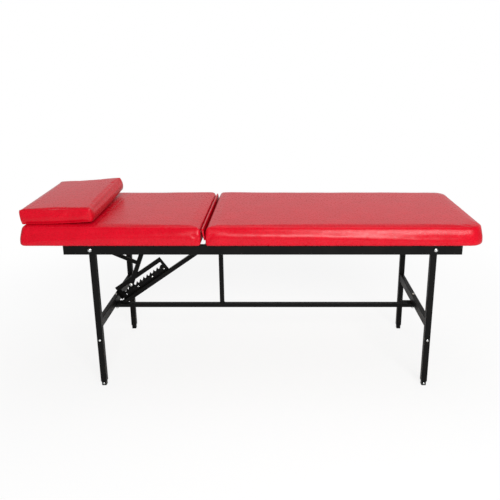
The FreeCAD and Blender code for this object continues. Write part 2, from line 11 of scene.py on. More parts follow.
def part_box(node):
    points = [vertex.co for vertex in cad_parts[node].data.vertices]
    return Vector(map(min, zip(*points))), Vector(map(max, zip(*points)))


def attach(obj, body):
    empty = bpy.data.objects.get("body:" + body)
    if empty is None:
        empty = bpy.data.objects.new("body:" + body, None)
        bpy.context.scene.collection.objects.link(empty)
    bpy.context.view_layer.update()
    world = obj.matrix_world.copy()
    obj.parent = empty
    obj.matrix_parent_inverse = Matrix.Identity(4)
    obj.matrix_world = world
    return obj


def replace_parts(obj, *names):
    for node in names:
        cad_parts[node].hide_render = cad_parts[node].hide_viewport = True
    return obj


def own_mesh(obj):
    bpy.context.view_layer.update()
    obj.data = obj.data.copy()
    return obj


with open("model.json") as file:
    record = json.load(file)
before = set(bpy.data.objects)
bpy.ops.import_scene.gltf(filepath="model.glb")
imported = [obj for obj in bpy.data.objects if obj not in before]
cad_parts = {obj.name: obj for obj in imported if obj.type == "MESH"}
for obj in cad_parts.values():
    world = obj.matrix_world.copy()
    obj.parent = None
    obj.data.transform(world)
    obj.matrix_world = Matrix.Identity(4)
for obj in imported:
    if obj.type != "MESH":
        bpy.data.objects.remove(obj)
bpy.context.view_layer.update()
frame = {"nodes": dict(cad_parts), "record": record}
scene = bpy.context.scene
scene.view_settings.view_transform = "Standard"


# The view. The table is seen from the front, a little above its top and slightly
# to the right of its middle, by a level camera that looks 14.7 degrees down.
camera_data = bpy.data.cameras.new("studio_camera")
camera_data.sensor_width = 36.0
camera_data.lens = 38.51
camera_data.shift_x = -0.0549
camera_data.shift_y = -0.1067
camera = bpy.data.objects.new("studio_camera", camera_data)
camera.location = (0.1116, -2.3196, 1.3965)
camera.rotation_euler = (math.radians(75.251), 0.0, 0.0)
scene.collection.objects.link(camera)
scene.camera = camera


# Studio. A pale floor that fades into a white backdrop, one wide soft lamp in front
# and above, a weaker one overhead, and a backdrop that shows in glossy surfaces.
def srgb(code):
    """Linear colour of an sRGB hex value."""
    parts = [int(code[i:i + 2], 16) / 255 for i in (1, 3, 5)]
    return [p / 12.92 if p <= 0.04045 else ((p + 0.055) / 1.055) ** 2.4 for p in parts] + [1.0]


def add_node(tree, kind, inputs=None, **settings):
    """One node with its settings, its socket values and the links into it."""
    made = tree.nodes.new(kind)
    for name, value in settings.items():
        setattr(made, name, value)
    for socket, value in (inputs or {}).items():
        if isinstance(value, bpy.types.NodeSocket):
            tree.links.new(value, made.inputs[socket])
        else:
            made.inputs[socket].default_value = value
    return made


floor_half_width = 9.0
floor_drop = 0.0004
floor_material = bpy.data.materials.new("matt_white_studio_floor")
floor_material.use_nodes = True
tree = floor_material.node_tree
tree.nodes.clear()
paint = add_node(tree, "ShaderNodeBsdfDiffuse", {"Color": srgb("#F4F4F4")})
glow = add_node(tree, "ShaderNodeEmission", {"Color": srgb("#FFFFFF"), "Strength": 1.0})
place = add_node(tree, "ShaderNodeTexCoord")
distance = add_node(tree, "ShaderNodeVectorMath", {0: place.outputs["Object"]}, operation="LENGTH")
fade = add_node(tree, "ShaderNodeMapRange", {
    "Value": distance.outputs["Value"], "From Min": 0.9, "From Max": 2.4,
    "To Min": 0.82, "To Max": 1.0}, interpolation_type="SMOOTHSTEP")
seen = add_node(tree, "ShaderNodeLightPath")
share = add_node(tree, "ShaderNodeMath", {
    0: fade.outputs["Result"], 1: seen.outputs["Is Camera Ray"]}, operation="MULTIPLY")
blend = add_node(tree, "ShaderNodeMixShader", {
    "Fac": share.outputs["Value"], 1: paint.outputs["BSDF"], 2: glow.outputs["Emission"]})
add_node(tree, "ShaderNodeOutputMaterial", {"Surface": blend.outputs["Shader"]})

bm = bmesh.new()
bmesh.ops.create_grid(bm, x_segments=1, y_segments=1, size=floor_half_width)
bmesh.ops.translate(bm, vec=(0.0, 0.0, -floor_drop), verts=bm.verts)
floor_mesh = bpy.data.meshes.new("studio_floor")
bm.to_mesh(floor_mesh)
bm.free()
floor_mesh.materials.append(floor_material)
floor = bpy.data.objects.new("studio_floor", floor_mesh)
scene.collection.objects.link(floor)

ambient_strength = 0.32
world = bpy.data.worlds.new("white_backdrop")
world.use_nodes = True
scene.world = world
tree = world.node_tree
tree.nodes.clear()
toward = add_node(tree, "ShaderNodeTexCoord")
axes = add_node(tree, "ShaderNodeSeparateXYZ", {"Vector": toward.outputs["Generated"]})
behind = add_node(tree, "ShaderNodeMapRange", {
    "Value": axes.outputs["Y"], "From Min": -0.1, "From Max": 0.5,
    "To Min": 0.25, "To Max": 0.8}, interpolation_type="SMOOTHSTEP")
height = add_node(tree, "ShaderNodeMapRange", {
    "Value": axes.outputs["Z"], "From Min": 0.45, "From Max": 0.75,
    "To Min": 1.0, "To Max": 0.25}, interpolation_type="SMOOTHSTEP")
backdrop = add_node(tree, "ShaderNodeMath", {
    0: behind.outputs["Result"], 1: height.outputs["Result"]}, operation="MULTIPLY")
seen = add_node(tree, "ShaderNodeLightPath")
glossy = add_node(tree, "ShaderNodeMix", {
    "Factor": seen.outputs["Is Glossy Ray"], "A": ambient_strength,
    "B": backdrop.outputs["Value"]}, data_type="FLOAT")
direct = add_node(tree, "ShaderNodeMath", {
    0: seen.outputs["Is Camera Ray"], 1: seen.outputs["Is Transmission Ray"]}, operation="MAXIMUM")
strength = add_node(tree, "ShaderNodeMix", {
    "Factor": direct.outputs["Value"], "A": glossy.outputs["Result"], "B": 1.0}, data_type="FLOAT")
sky = add_node(tree, "ShaderNodeBackground", {
    "Color": srgb("#FFFFFF"), "Strength": strength.outputs["Result"]})
add_node(tree, "ShaderNodeOutputWorld", {"Surface": sky.outputs["Background"]})

lamp_target = Vector((0.0, 0.0, 0.45))
for name, place, width, depth, power in (
        ("front_softbox", Vector((1.1, -4.1, 2.8)), 2.8, 1.2, 205.0),
        ("overhead_softbox", Vector((0.3, 0.4, 3.8)), 3.6, 2.4, 42.0)):
    lamp_data = bpy.data.lights.new(name, "AREA")
    lamp_data.shape = "RECTANGLE"
    lamp_data.size = width
    lamp_data.size_y = depth
    lamp_data.energy = power
    lamp = bpy.data.objects.new(name, lamp_data)
    lamp.location = place
    lamp.rotation_euler = (lamp_target - place).to_track_quat("-Z", "Y").to_euler()
    scene.collection.objects.link(lamp)


# Upholstery cover. PVC leatherette on a knitted backing, embossed with a fine pebble
# grain: the grain softens the shine, so flat tops look paler than upright sides.
def start_material(name, **sockets):
    """New material with its tree, its Principled shader and the object coordinates."""
    material = bpy.data.materials.new(name)
    material.use_nodes = True
    made = material.node_tree
    made.nodes.clear()
    shader = add_node(made, "ShaderNodeBsdfPrincipled",
                      {socket.replace("_", " "): value for socket, value in sockets.items()})
    add_node(made, "ShaderNodeOutputMaterial", {"Surface": shader.outputs["BSDF"]})
    coordinates = add_node(made, "ShaderNodeTexCoord").outputs["Object"]
    return material, made, shader, coordinates


def two_tone(tree, value, low, low_code, high, high_code):
    """Colour that runs from one hex value to another as a pattern rises from low to high."""
    tone = add_node(tree, "ShaderNodeValToRGB", {"Fac": value})
    tone.color_ramp.elements[0].position = low
    tone.color_ramp.elements[0].color = srgb(low_code)
    tone.color_ramp.elements[1].position = high
    tone.color_ramp.elements[1].color = srgb(high_code)
    return tone.outputs["Color"]


grain_cell = 0.0026  # real grain is about 1 mm; drawn coarser so that it shows
dimple_size = 0.009
slack_size = 0.07
leatherette, tree, shader, coordinates = start_material(
    "red_pvc_leatherette_embossed", Specular_IOR_Level=0.21)
grain = add_node(tree, "ShaderNodeTexVoronoi", {"Vector": coordinates, "Scale": 1 / grain_cell})
dimples = add_node(tree, "ShaderNodeTexNoise", {
    "Vector": coordinates, "Scale": 1 / dimple_size, "Detail": 3.0})
slack = add_node(tree, "ShaderNodeTexNoise", {
    "Vector": coordinates, "Scale": 1 / slack_size, "Detail": 2.0})
tone = two_tone(tree, slack.outputs["Fac"], 0.30, "#CE0520", 0.72, "#DD0726")
# Painted shade: the colour darkens toward the edges of each grain cell, standing in for shade in the grain.
painted_grain_shade = add_node(tree, "ShaderNodeMix", {
    "Factor": grain.outputs["Distance"], "A": tone, "B": srgb("#B00519")}, data_type="RGBA")
tree.links.new(painted_grain_shade.outputs["Result"], shader.inputs["Base Color"])
polish = add_node(tree, "ShaderNodeMapRange", {
    "Value": dimples.outputs["Fac"], "From Min": 0.3, "From Max": 0.7, "To Min": 0.24, "To Max": 0.34})
tree.links.new(polish.outputs["Result"], shader.inputs["Roughness"])
relief = add_node(tree, "ShaderNodeBump", {
    "Height": grain.outputs["Distance"], "Strength": 0.4, "Distance": 0.00025})
relief = add_node(tree, "ShaderNodeBump", {
    "Height": dimples.outputs["Fac"], "Strength": 0.5, "Distance": 0.0005,
    "Normal": relief.outputs["Normal"]})
relief = add_node(tree, "ShaderNodeBump", {
    "Height": slack.outputs["Fac"], "Strength": 0.35, "Distance": 0.002,
    "Normal": relief.outputs["Normal"]})
tree.links.new(relief.outputs["Normal"], shader.inputs["Normal"])


# Cushions. Each is a foam slab glued to a board, with the leatherette pulled over its
# top and sides and stapled under the board, so it crowns a little and its edges are soft.
def bevelled_block(low, high, plan_corners, top_radius, bottom_radius):
    """Block with round upright corners, a radius for each end, and round top and bottom edges."""
    tolerance = 1e-5
    bm = bmesh.new()
    bmesh.ops.create_cube(bm, size=1.0)
    bmesh.ops.scale(bm, vec=high - low, verts=bm.verts)
    bmesh.ops.translate(bm, vec=(low + high) / 2, verts=bm.verts)
    for x, radius in plan_corners:
        corners = [edge for edge in bm.edges if all(abs(v.co.x - x) < tolerance for v in edge.verts)
                   and abs(edge.verts[0].co.z - edge.verts[1].co.z) > tolerance]
        bmesh.ops.bevel(bm, geom=corners, offset=radius, affect="EDGES", segments=10, profile=0.5,
                        material=-1)
    for z, radius in ((high.z, top_radius), (low.z, bottom_radius)):
        ring = [edge for edge in bm.edges if all(abs(v.co.z - z) < tolerance for v in edge.verts)]
        bmesh.ops.bevel(bm, geom=ring, offset=radius, affect="EDGES", segments=8, profile=0.5,
                        material=-1, clamp_overlap=True)
    return bm


def finished_mesh(name, bm, body, material, smooth=True):
    """Turn a bmesh into a shaded piece that rides on a body."""
    bmesh.ops.recalc_face_normals(bm, faces=bm.faces)
    mesh = bpy.data.meshes.new(name)
    bm.to_mesh(mesh)
    bm.free()
    piece = bpy.data.objects.new(name, mesh)
    scene.collection.objects.link(piece)
    mesh.polygons.foreach_set("use_smooth", [smooth] * len(mesh.polygons))
    mesh.materials.append(material)
    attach(piece, body)
    return piece


def points_of(piece):
    """The piece's points as an array."""
    found = np.empty(len(piece.data.vertices) * 3)
    piece.data.vertices.foreach_get("co", found)
    return found.reshape(-1, 3)


def move_points(piece, points):
    """Put the piece's points at new places."""
    piece.data.vertices.foreach_set("co", np.asarray(points, float).ravel())
    piece.data.update()


def apply_modifiers(piece):
    """Replace the piece's mesh by what its modifiers make of it."""
    evaluated = piece.evaluated_get(bpy.context.evaluated_depsgraph_get())
    made = bpy.data.meshes.new_from_object(evaluated)
    piece.modifiers.clear()
    piece.data = made
    made.polygons.foreach_set("use_smooth", [True] * len(made.polygons))


def smooth_step(value, low, high):
    """0 below low, 1 above high, smooth between."""
    share = np.clip((value - low) / (high - low), 0.0, 1.0)
    return share * share * (3 - 2 * share)


def inflate(piece, pressure, cap, held):
    """Let the foam push the cover out by a cloth simulation; cap limits how far a point moves."""
    last_step = 20
    least_weight = 0.001
    start = points_of(piece)
    group = piece.vertex_groups.new(name="held")
    for index, weight in enumerate(held(start)):
        if weight > least_weight:
            group.add([index], float(weight), "REPLACE")
    cloth = piece.modifiers.new("cover", "CLOTH")
    cloth.settings.quality = 4
    cloth.settings.mass = 0.4
    cloth.settings.tension_stiffness = 25.0
    cloth.settings.compression_stiffness = 25.0
    cloth.settings.shear_stiffness = 15.0
    cloth.settings.bending_stiffness = 2.0
    cloth.settings.use_pressure = True
    cloth.settings.uniform_pressure_force = pressure
    cloth.settings.effector_weights.gravity = 0.0
    cloth.settings.vertex_group_mass = "held"
    cloth.collision_settings.use_collision = False
    cloth.point_cache.frame_start = 1
    cloth.point_cache.frame_end = last_step
    for step in range(1, last_step + 1):
        scene.frame_set(step)
    apply_modifiers(piece)
    scene.frame_set(1)
    piece.vertex_groups.clear()
    move = points_of(piece) - start
    far = np.linalg.norm(move, axis=1)
    return start + move * (cap / np.maximum(far, cap))[:, None]


def subdivide(piece):
    """One smooth subdivision, applied."""
    finer = piece.modifiers.new("finer", "SUBSURF")
    finer.levels = 1
    finer.render_levels = 1
    apply_modifiers(piece)


def padded_cover(name, bm, body, quad_size, pressure, cap, held):
    """Cover over a foam block: fine quads that lie on the block and swell as the simulation says."""
    block = BVHTree.FromBMesh(bm)
    piece = finished_mesh(name, bm, body, leatherette)
    voxels = piece.modifiers.new("even_quads", "REMESH")
    voxels.mode = "VOXEL"
    voxels.voxel_size = quad_size
    apply_modifiers(piece)
    flat = points_of(piece)
    swollen = inflate(piece, pressure, cap, held)
    move_points(piece, flat)
    mesh_at_rest = piece.data.copy()
    subdivide(piece)
    fine = points_of(piece)
    piece.data = mesh_at_rest
    move_points(piece, swollen)
    subdivide(piece)
    swelling = points_of(piece) - fine
    on_block = np.array([block.find_nearest(Vector(point))[0] for point in fine])
    return piece, on_block + swelling


def ripple(points, size, seed):
    """Smooth noise from -1 to 1 at each point, with bumps of about the given size."""
    shift = Vector((seed, 2 * seed, 3 * seed))
    return np.array([noise.noise(Vector(point) / size + shift) for point in points])


def fold(points, start, end, width, depth):
    """How far a short soft crease in the cover pulls each point in; it fades at its two ends."""
    at_start, per_run = 0.15, 0.85
    run = np.array(end) - np.array(start)
    along = np.clip((points - start) @ run / (run @ run), 0.0, 1.0)
    off = np.linalg.norm(points - (start + along[:, None] * run), axis=1)
    fade = np.sin(np.pi * np.clip(at_start + per_run * along, 0, 1)) ** 0.5
    return depth * np.exp(-(off / width) ** 2) * fade


board_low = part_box("main_board")[0].z
board_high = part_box("main_board")[1].z
top_edge_radius, bottom_edge_radius = 0.008, 0.015
roll_under = 0.0155
leaf_room = 0.0022
gap_roll = 0.024
upright_height = 0.022
bullnose_inset, bullnose_reach = 0.019, 0.11
free_end_share, rear_side_share = 0.3, 0.5
end_bulge = {"head_cushion": 0.009, "main_cushion": 0.016}
bulge_reach = 0.25
crown = 0.004
flat_under_pillow = 0.0001
pillow_margin = 0.02
top_wave, top_wave_reach, top_wave_length = 0.0012, 0.045, 0.11
side_wave, side_wave_reach, side_wave_length = 0.0008, 0.03, 0.05
wave_rise = 0.035
crease_width = 0.0055
crease_share_at_free_end = 0.5
crease_lift = 0.001
# Each crease: its start and end from the cushion's end, their heights over the board's
# underside, and its depth.
creases = ((0.006, 0.036, 0.030, 0.050, 0.0050),
           (0.004, 0.024, 0.014, 0.032, 0.0036),
           (0.016, 0.044, 0.010, 0.020, 0.0020))
for name, body, start_radius, end_radius in (("head_cushion", "head_section", 0.025, 0.012),
                                             ("main_cushion", "frame", 0.012, 0.060)):
    low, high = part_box(name)
    at_head = name == "head_cushion"
    gap_end, free_end, inward = (high.x, low.x, -1.0) if at_head else (low.x, high.x, 1.0)
    bm = bevelled_block(low, high, ((low.x, start_radius), (high.x, end_radius)),
                        top_edge_radius, bottom_edge_radius)

    def held(points):
        """The cover is held under the board, low on the sides and at the hinge gap."""
        by_height = 1 - smooth_step(points[:, 2], board_low + 0.010, board_low + 0.040)
        by_gap = 1 - smooth_step(np.abs(points[:, 0] - gap_end), 0.006, 0.05)
        return np.maximum(by_height, by_gap)

    cushion, points = padded_cover(name + "_cover", bm, body, quad_size=0.0085, pressure=1.6,
                                   cap=0.003, held=held)

    # The foam is cut round at the gap, so that the sections clear each other when tilted.
    roll = np.stack([inward * (gap_end + inward * gap_roll - points[:, 0]),
                     points[:, 2] - (high.z - gap_roll)], axis=1)
    radius = np.linalg.norm(roll, axis=1)
    outside = (roll > 0).all(axis=1) & (radius > gap_roll)
    roll[outside] *= (gap_roll / radius[outside])[:, None]
    points[outside, 0] = gap_end + inward * (gap_roll - roll[outside, 0])
    points[outside, 2] = high.z - gap_roll + roll[outside, 1]

    # The slab's long sides and free end are a bullnose: widest low down, drawn in at the top.
    lift = np.clip((points[:, 2] - low.z - upright_height) / (high.z - low.z - upright_height), 0.0, 1.0)
    drawn_in = bullnose_inset * lift ** 2
    side = np.minimum(points[:, 1] - low.y, high.y - points[:, 1])
    from_free_end = points[:, 0] - low.x if at_head else high.x - points[:, 0]
    drawn_y = drawn_in * np.where(points[:, 1] > 0, rear_side_share, 1.0)
    points[:, 1] -= np.sign(points[:, 1]) * drawn_y * (1 - smooth_step(side, 0.0, bullnose_reach))
    near_free_end = 1 - smooth_step(from_free_end, 0.0, bullnose_reach)
    points[:, 0] -= inward * free_end_share * drawn_in * near_free_end

    # Slack in the cover: long waves along the upper edges, and short creases at the corners,
    # where the leatherette is gathered before it is stapled.
    by_edge = (np.exp(-(side / top_wave_reach) ** 2)
               * smooth_step(points[:, 2], board_high, board_high + wave_rise))
    wave = ripple(points * (1, 0.3, 0.3), top_wave_length, seed=3.0 if at_head else 7.0)
    points[:, 2] += top_wave * by_edge * wave
    wave = ripple(points * (1, 0.3, 1), side_wave_length, seed=11.0 if at_head else 5.0)
    points[:, 1] += side_wave * wave * np.sign(-points[:, 1]) * np.exp(-(side / side_wave_reach) ** 2)
    for front in (-1.0, 1.0):
        y = front * (high.y + crease_lift)
        for near, far, start_height, end_height, depth in creases:
            for end, sign, crease_share in ((gap_end, inward, 1.0),
                                            (free_end, -inward, crease_share_at_free_end)):
                pull = fold(points, (end + sign * near, y, board_low + start_height),
                            (end + sign * far, y, board_low + end_height), crease_width,
                            crease_share * depth)
                points[:, 1] -= front * pull
    top_limit = np.where(points[:, 0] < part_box("pillow")[1].x + pillow_margin,
                         high.z + flat_under_pillow, high.z + crown)
    points[:, 2] = np.minimum(points[:, 2], top_limit)

    # The cover turns in under the board by the same width all round; inside that, the
    # foam lies on the board, just clear of the hinge leaves.
    from_outline = np.full(len(points), 1.0)
    for x, sign, radius in ((low.x, 1.0, start_radius), (high.x, -1.0, end_radius)):
        from_end = sign * (points[:, 0] - x)
        in_corner = np.hypot(np.clip(radius - from_end, 0, None), np.clip(radius - side, 0, None))
        rounded = np.where((from_end < radius) & (side < radius), radius - in_corner,
                           np.minimum(from_end, side))
        from_outline = np.minimum(from_outline, rounded)
    over_board = (points[:, 2] < board_high) & (from_outline > roll_under + 0.001)
    points[over_board, 2] = board_high + leaf_room

    # The padding at the free end makes the cushion a little longer than its slab.
    from_free_end = points[:, 0] - low.x if at_head else high.x - points[:, 0]
    points[:, 0] += inward * end_bulge[name] * (1 - smooth_step(from_free_end, 0.0, bulge_reach))
    move_points(cushion, points)
    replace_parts(cushion, name)


# Gap strip. A folded leatherette strip over a thin foam core, sewn along the main
# cushion's end; it hides the hinges and leans toward the head section.
strip_thickness = 0.006
strip_drop = 0.007
strip_end_margin = 0.012
lean = 0.009
lip_radius = 0.0016
lip_sag, lip_sag_length = 0.0012, 0.08
lip_wander, lip_wander_length = 0.0006, 0.12
low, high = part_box("gap_strip")
high.z = min(high.z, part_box("main_cushion")[1].z - strip_drop)
high.y = min(high.y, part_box("main_cushion")[1].y - strip_end_margin)
low.y = -high.y
middle_z = (low.z + high.z) / 2
bm = bmesh.new()
bmesh.ops.create_cube(bm, size=1.0)
bmesh.ops.scale(bm, vec=(strip_thickness, high.y - low.y, high.z - low.z), verts=bm.verts)
bmesh.ops.translate(bm, vec=(high.x - strip_thickness / 2, 0.0, middle_z), verts=bm.verts)
for vertex in bm.verts:
    if vertex.co.z > middle_z:
        vertex.co.x -= lean
long_edges = [edge for edge in bm.edges if abs(edge.verts[0].co.y - edge.verts[1].co.y) > 0.1]
bmesh.ops.subdivide_edges(bm, edges=long_edges, cuts=60, use_grid_fill=True)
top_edges = [edge for edge in bm.edges if all(v.co.z > high.z - 1e-5 for v in edge.verts)
             and abs(edge.verts[0].co.x - edge.verts[1].co.x) < 1e-5]
bmesh.ops.bevel(bm, geom=top_edges, offset=lip_radius, affect="EDGES", segments=4, profile=0.5, material=-1)
for vertex in bm.verts:
    if vertex.co.z > middle_z:
        sag = noise.noise(Vector((0.0, vertex.co.y / lip_sag_length, 4.0)))
        vertex.co.z -= lip_sag * (0.5 + 0.5 * sag)
        vertex.co.x += lip_wander * noise.noise(Vector((0.0, vertex.co.y / lip_wander_length, 9.0)))
strip = finished_mesh("gap_strip_cover", bm, "frame", leatherette)
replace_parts(strip, "gap_strip")
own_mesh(strip)


# Pillow. A loose foam block in a boxed leatherette cover, sewn round its top and bottom
# edges; it lies a little askew and its right end curls up, most at the rear corner.
swelling_room = 0.0015
left_corner_radius, right_corner_radius, sewn_edge_radius = 0.006, 0.008, 0.0035
low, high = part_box("pillow")
size = high - low
bm = bevelled_block(low + Vector((swelling_room, swelling_room, 0.0)),
                    high - Vector((swelling_room, swelling_room, swelling_room)),
                    ((low.x + swelling_room, left_corner_radius),
                     (high.x - swelling_room, right_corner_radius)), sewn_edge_radius, sewn_edge_radius)


def held_below(points):
    """The pillow's cover is held where it lies on the cushion."""
    return 1 - smooth_step(points[:, 2], low.z + 0.002, low.z + 0.012)


pillow, points = padded_cover("pillow_cover", bm, "pillow", quad_size=0.0045, pressure=3.0,
                              cap=0.003, held=held_below)

seam_drop, seam_width, seam_depth = 0.0055, 0.0016, 0.0013
side_depth = 0.006
inside_x = np.minimum(points[:, 0] - low.x, high.x - points[:, 0])
inside_y = np.minimum(points[:, 1] - low.y, high.y - points[:, 1])
on_side = np.minimum(inside_x, inside_y) < side_depth
groove = (np.exp(-((high.z - seam_drop - points[:, 2]) / seam_width) ** 2)
          + np.exp(-((low.z + seam_drop - points[:, 2]) / seam_width) ** 2)) * on_side
toward_middle = np.stack([np.sign((low.x + high.x) / 2 - points[:, 0]) * (inside_x <= inside_y),
                          np.sign((low.y + high.y) / 2 - points[:, 1]) * (inside_x > inside_y)], axis=1)
points[:, :2] += seam_depth * groove[:, None] * toward_middle
crease_width, crease_lean = 0.0030, 0.004
for near, start_height, end_height, depth in ((0.004, 0.008, 0.052, 0.0022),
                                              (0.012, 0.014, 0.046, 0.0014)):
    points[:, 1] += fold(points, (high.x - near, low.y, low.z + start_height),
                         (high.x - near - crease_lean, low.y, low.z + end_height), crease_width, depth)
points[:, 0] += 0.0006 * ripple(points, 0.035, seed=2.0)
points[:, 1] += 0.0008 * ripple(points, 0.040, seed=8.0)

# The block is laid out between its four top corners: left front, left rear, right front
# and right rear. Its right end lifts, and the foam bulges there below the top edge.
corner_places = np.array([(-0.936, -0.252, 0.7945), (-0.957, 0.247, 0.7995),
                          (-0.644, -0.240, 0.7985), (-0.660, 0.259, 0.8180)])
front_lift, rear_lift = 0.007, 0.018
left_tuck = 0.009
front_bulge, rear_bulge = 0.003, 0.008
bulge_start, bulge_turn = 0.8, 0.75
right = (points[:, 0] - low.x) / size.x
rear = (points[:, 1] - low.y) / size.y
up = np.clip((points[:, 2] - low.z) / size.z, 0.0, None)
corner_weights = np.stack([(1 - right) * (1 - rear), (1 - right) * rear,
                           right * (1 - rear), right * rear], axis=1)
plan = corner_weights @ corner_places
bottom = low.z + right ** 3 * (front_lift + rear_lift * rear ** 2)
top = plan[:, 2]
tuck = left_tuck * (1 - right) ** 6 * (1 - up) ** 2
bulge = ((front_bulge + rear_bulge * rear) * smooth_step(right, bulge_start, 1.0)
         * np.sin(bulge_turn * np.pi * np.clip(1 - up, 0, 1)))
points[:, 0] = plan[:, 0] + tuck + bulge
points[:, 1] = plan[:, 1]
points[:, 2] = bottom + up * (top - bottom)
move_points(pillow, points)
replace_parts(pillow, "pillow")


# Staples. Galvanised wire staples, bright with a faint cloud, through the cut edge of the
# leatherette, which is folded in under each board between the rails and at its free end.
staple_spacing = 0.032
staple_crown, wire_width, wire_thickness = 0.0105, 0.0011, 0.0007
staple_drift = 0.0015
hem_quad = 0.012
hem_thickness = 0.0009
hem_drop, hem_unevenness = 0.0012, 0.0003
staple_drop = 0.0018


def stapled_hem(name, body, board, strips, steel):
    """Strips of cut leatherette under a board, given as x and y limits, and the staples in them."""
    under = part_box(board)[0].z
    hem = bmesh.new()
    wire = bmesh.new()
    for x_from, x_to, y_from, y_to in strips:
        size_x, size_y = x_to - x_from, y_to - y_from
        sheet = bmesh.ops.create_grid(hem, x_segments=max(2, int(size_x / hem_quad)),
                                      y_segments=max(2, int(size_y / hem_quad)), size=0.5)
        for vertex in sheet["verts"]:
            x, y = x_from + (vertex.co.x + 0.5) * size_x, y_from + (vertex.co.y + 0.5) * size_y
            uneven = hem_unevenness * noise.noise(Vector((x / 0.02, y / 0.02, 5.0)))
            vertex.co = (x, y, under - hem_drop + uneven)
        lengthwise = size_x > size_y
        count = int(max(size_x, size_y) / staple_spacing)
        for index in range(count):
            share = (index + 0.5) / count
            drift = staple_drift * noise.noise(Vector((index * 1.3, x_from, y_from)))
            crown_size = (wire_width, staple_crown, wire_thickness)
            x, y = x_from + size_x * 0.5 + drift, y_from + size_y * share
            if lengthwise:
                crown_size = (staple_crown, wire_width, wire_thickness)
                x, y = x_from + size_x * share, y_from + size_y * 0.5 + drift
            staple = bmesh.ops.create_cube(wire, size=1.0)["verts"]
            bmesh.ops.scale(wire, vec=crown_size, verts=staple)
            bmesh.ops.translate(wire, vec=(x, y, under - staple_drop), verts=staple)
    folded = finished_mesh(name + "_hem", hem, body, leatherette)
    thick = folded.modifiers.new("cloth_thickness", "SOLIDIFY")
    thick.thickness = hem_thickness
    thick.offset = 1.0
    apply_modifiers(folded)
    bmesh.ops.bevel(wire, geom=list(wire.edges), offset=0.0002, affect="EDGES", segments=2, profile=0.5,
                    material=-1)
    finished_mesh(name + "_staples", wire, body, steel)


zinc_cloud = 0.006
zinc, tree, shader, coordinates = start_material(
    "bright_zinc_plated_steel", Metallic=1.0, Roughness=0.3)
cloud = add_node(tree, "ShaderNodeTexNoise", {
    "Vector": coordinates, "Scale": 1 / zinc_cloud, "Detail": 3.0})
tree.links.new(two_tone(tree, cloud.outputs["Fac"], 0.3, "#C6CACC", 0.7, "#E2E2DE"),
               shader.inputs["Base Color"])
polish = add_node(tree, "ShaderNodeMapRange", {
    "Value": cloud.outputs["Fac"], "From Min": 0.3, "From Max": 0.7, "To Min": 0.22, "To Max": 0.42})
tree.links.new(polish.outputs["Result"], shader.inputs["Roughness"])

tube_room = 0.003
cut_line, rail_side = 0.250, 0.2645
end_cut_line, end_half_width = 0.042, 0.235
head_start, gap_margin, foot_margin = 0.03, 0.02, 0.06
head_tube, hinge_tube, foot_tube = sorted(
    (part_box(node)[0].x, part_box(node)[1].x)
    for node in ("head_cross_tube", "hinge_cross_tube", "foot_cross_tube"))
head_low, head_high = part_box("head_cushion")
main_low, main_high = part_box("main_cushion")
for name, body, side_runs, free_end, outward in (
        ("head_board", "head_section",
         ((head_low.x + head_start, head_tube[0] - tube_room),
          (head_tube[1] + tube_room, head_high.x - gap_margin)),
         head_low.x - end_bulge["head_cushion"], -1.0),
        ("main_board", "frame",
         ((hinge_tube[1] + tube_room, foot_tube[0] - tube_room),
          (foot_tube[1] + tube_room, main_high.x - foot_margin)),
         main_high.x + end_bulge["main_cushion"], 1.0)):
    strips = []
    for x_from, x_to in side_runs:
        strips += [(x_from, x_to, cut_line, rail_side), (x_from, x_to, -rail_side, -cut_line)]
    x_from, x_to = sorted((free_end - outward * (roll_under - 0.001), free_end - outward * end_cut_line))
    strips.append((x_from, x_to, -end_half_width, end_half_width))
    stapled_hem(name, body, name, strips, zinc)


# Frame. Square and rectangular steel tube, cut, drilled, welded and powder coated
# black: semi-gloss with a faint orange peel.
peel_size = 0.004
coat_cloud = 0.09
coat, tree, shader, coordinates = start_material(
    "black_powder_coated_steel", Roughness=0.38, Specular_IOR_Level=0.10)
peel = add_node(tree, "ShaderNodeTexNoise", {
    "Vector": coordinates, "Scale": 1 / peel_size, "Detail": 2.0})
cloud = add_node(tree, "ShaderNodeTexNoise", {
    "Vector": coordinates, "Scale": 1 / coat_cloud, "Detail": 4.0})
tree.links.new(two_tone(tree, cloud.outputs["Fac"], 0.35, "#090909", 0.75, "#100F0E"),
               shader.inputs["Base Color"])
polish = add_node(tree, "ShaderNodeMapRange", {
    "Value": cloud.outputs["Fac"], "From Min": 0.3, "From Max": 0.7, "To Min": 0.32, "To Max": 0.46})
tree.links.new(polish.outputs["Result"], shader.inputs["Roughness"])
relief = add_node(tree, "ShaderNodeBump", {
    "Height": peel.outputs["Fac"], "Strength": 0.4, "Distance": 0.0002})
tree.links.new(relief.outputs["Normal"], shader.inputs["Normal"])


# Rubbed coating. The leg tubes slide in each other and the pin drags over the rack, so
# the same coating there has fine upright scratches that let the steel through.
scratch_width, scratch_stretch = 0.0016, 0.04
rubbed_patch = 0.04
rubbed, tree, shader, coordinates = start_material(
    "black_powder_coated_steel_rubbed", Roughness=0.36, Specular_IOR_Level=0.10)
stretched = add_node(tree, "ShaderNodeMapping", {
    "Vector": coordinates, "Scale": (1.0, 1.0, scratch_stretch)})
lines = add_node(tree, "ShaderNodeTexNoise", {
    "Vector": stretched.outputs["Vector"], "Scale": 1 / scratch_width, "Detail": 3.0})
patch = add_node(tree, "ShaderNodeTexNoise", {
    "Vector": coordinates, "Scale": 1 / rubbed_patch, "Detail": 2.0})
worn = add_node(tree, "ShaderNodeMath", {
    0: lines.outputs["Fac"], 1: patch.outputs["Fac"]}, operation="MULTIPLY")
tree.links.new(two_tone(tree, worn.outputs["Value"], 0.34, "#0C0C0C", 0.44, "#3A3936"),
               shader.inputs["Base Color"])
bare = add_node(tree, "ShaderNodeMapRange", {
    "Value": worn.outputs["Value"], "From Min": 0.36, "From Max": 0.44, "To Min": 0.0, "To Max": 0.8})
